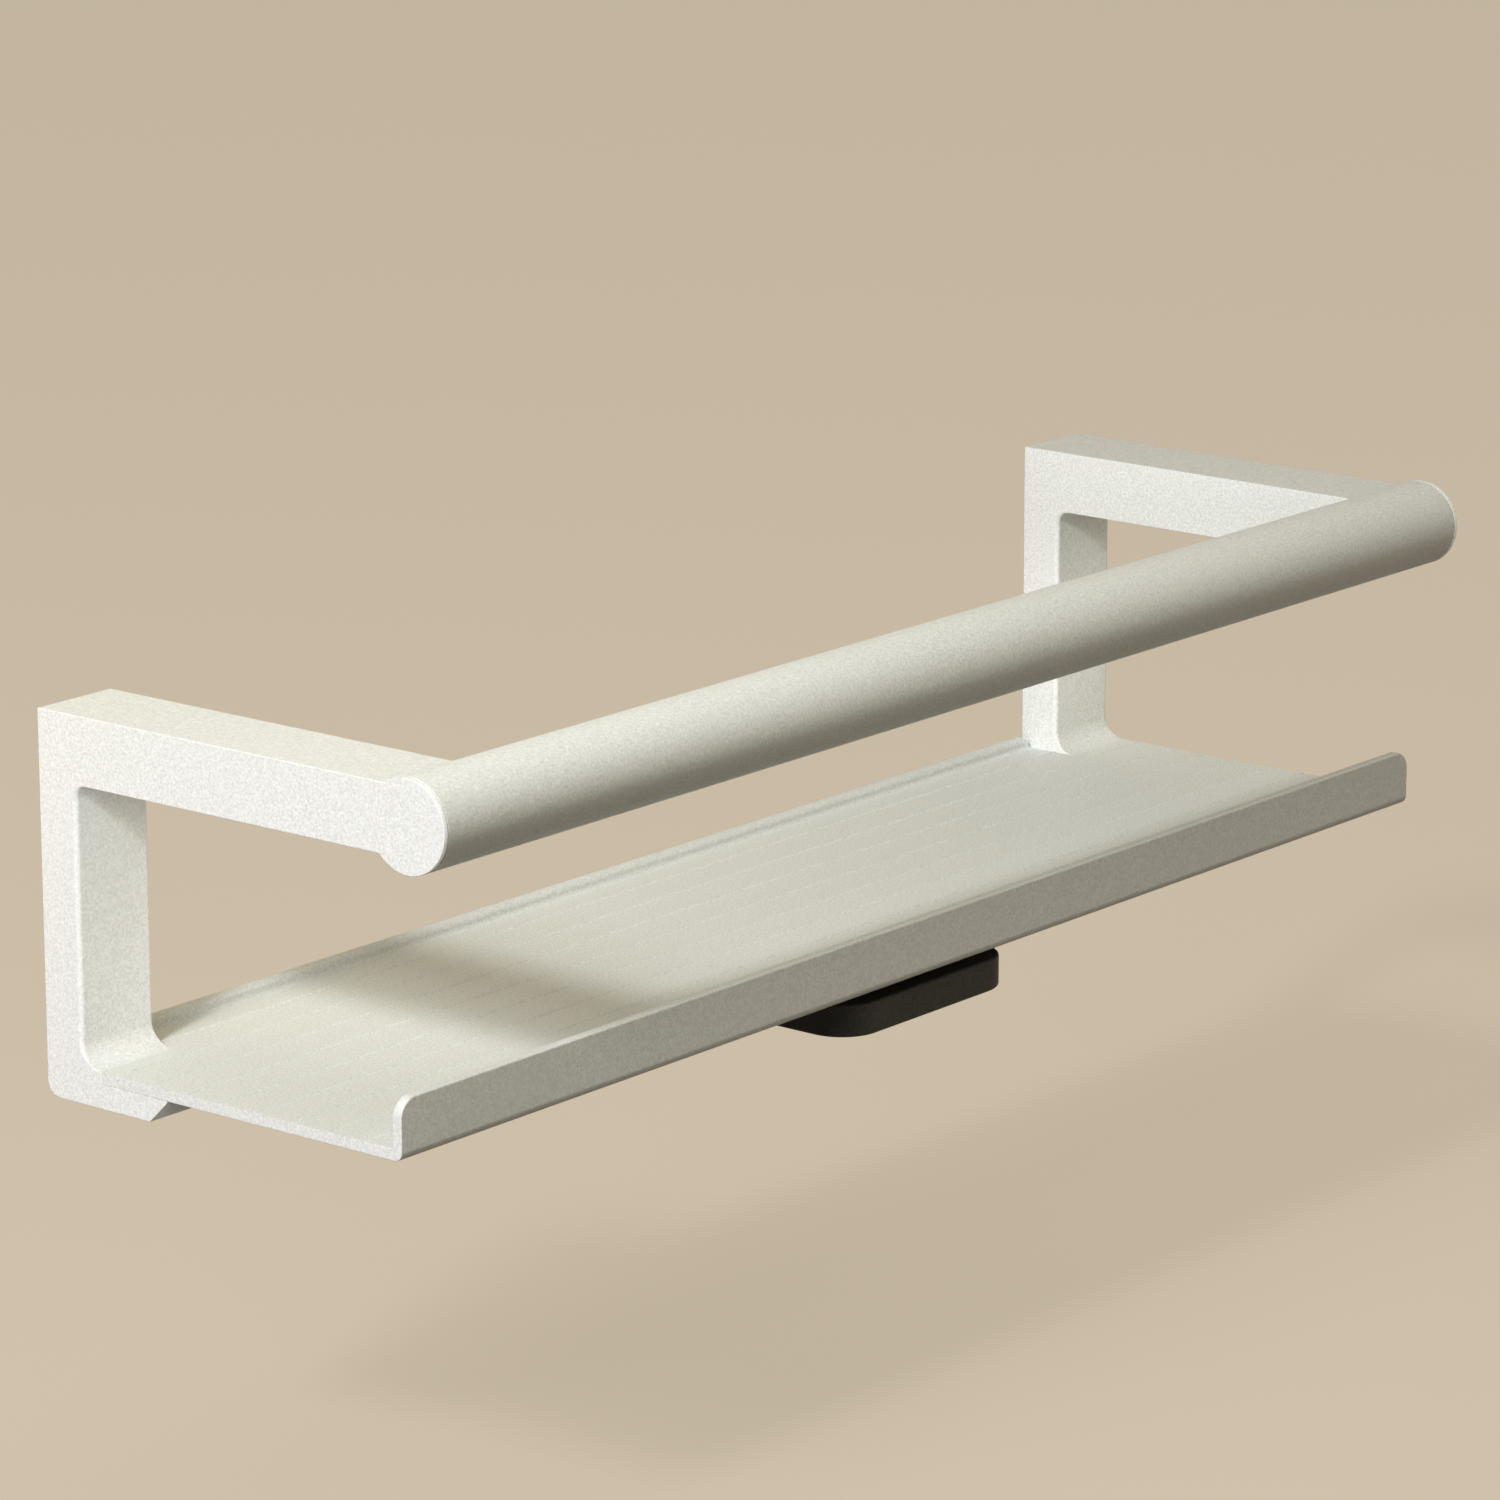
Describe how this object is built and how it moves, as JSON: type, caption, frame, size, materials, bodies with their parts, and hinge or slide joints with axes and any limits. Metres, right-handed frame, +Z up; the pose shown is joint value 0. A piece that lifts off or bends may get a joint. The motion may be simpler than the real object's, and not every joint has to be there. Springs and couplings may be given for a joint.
{
  "type": "wall shelf",
  "caption": "White metal bathroom wall shelf with C-shaped side brackets, a round front rail, a lipped tray with fine ribs and a glass wiper that slides out from underneath.",
  "frame": {"origin": "on the wall plane, halfway between the two brackets, at the height of the tray's top", "axes": "+X along the shelf to the right as seen from the room, +Y into the wall, +Z up"},
  "size_m": [0.45, 0.1405, 0.1143],
  "materials": {
    "white_powder_coat": "satin powder coat with a very fine texture",
    "black_plastic": "matte moulded",
    "steel_parts": "plain stainless steel",
    "black_aluminium": "black anodised",
    "black_rubber": "matte",
    "nickel": "nickel plated"
  },
  "bodies": {
    "shelf": {"bracket_left": "white_powder_coat", "wall_plate_left": "steel_parts", "bracket_grub_screw_left": "steel_parts", "rail_grub_screw_left": "steel_parts", "bracket_right": "white_powder_coat", "wall_plate_right": "steel_parts", "bracket_grub_screw_right": "steel_parts", "rail_grub_screw_right": "steel_parts", "rail_tube": "white_powder_coat", "shelf_tray": "white_powder_coat", "tray_nut_left_outer": "steel_parts", "tray_nut_left_inner": "steel_parts", "tray_nut_right_outer": "steel_parts", "tray_nut_right_inner": "steel_parts", "wiper_dock": "black_plastic", "dock_magnet": "nickel", "dock_nut_left": "steel_parts", "dock_nut_right": "steel_parts"},
    "wiper": {"wiper_grip": "black_plastic", "wiper_keeper": "steel_parts", "wiper_blade_bar": "black_aluminium", "wiper_bar_screw_left": "steel_parts", "wiper_bar_screw_right": "steel_parts", "wiper_end_cap_left": "black_plastic", "wiper_end_cap_right": "black_plastic", "wiper_rubber": "black_rubber"}
  },
  "joints": [
    {"name": "wiper_slide", "type": "slide", "parent": "shelf", "child": "wiper", "axis": [0, -1, 0], "range_m": [0, 0.12]}
  ]
}
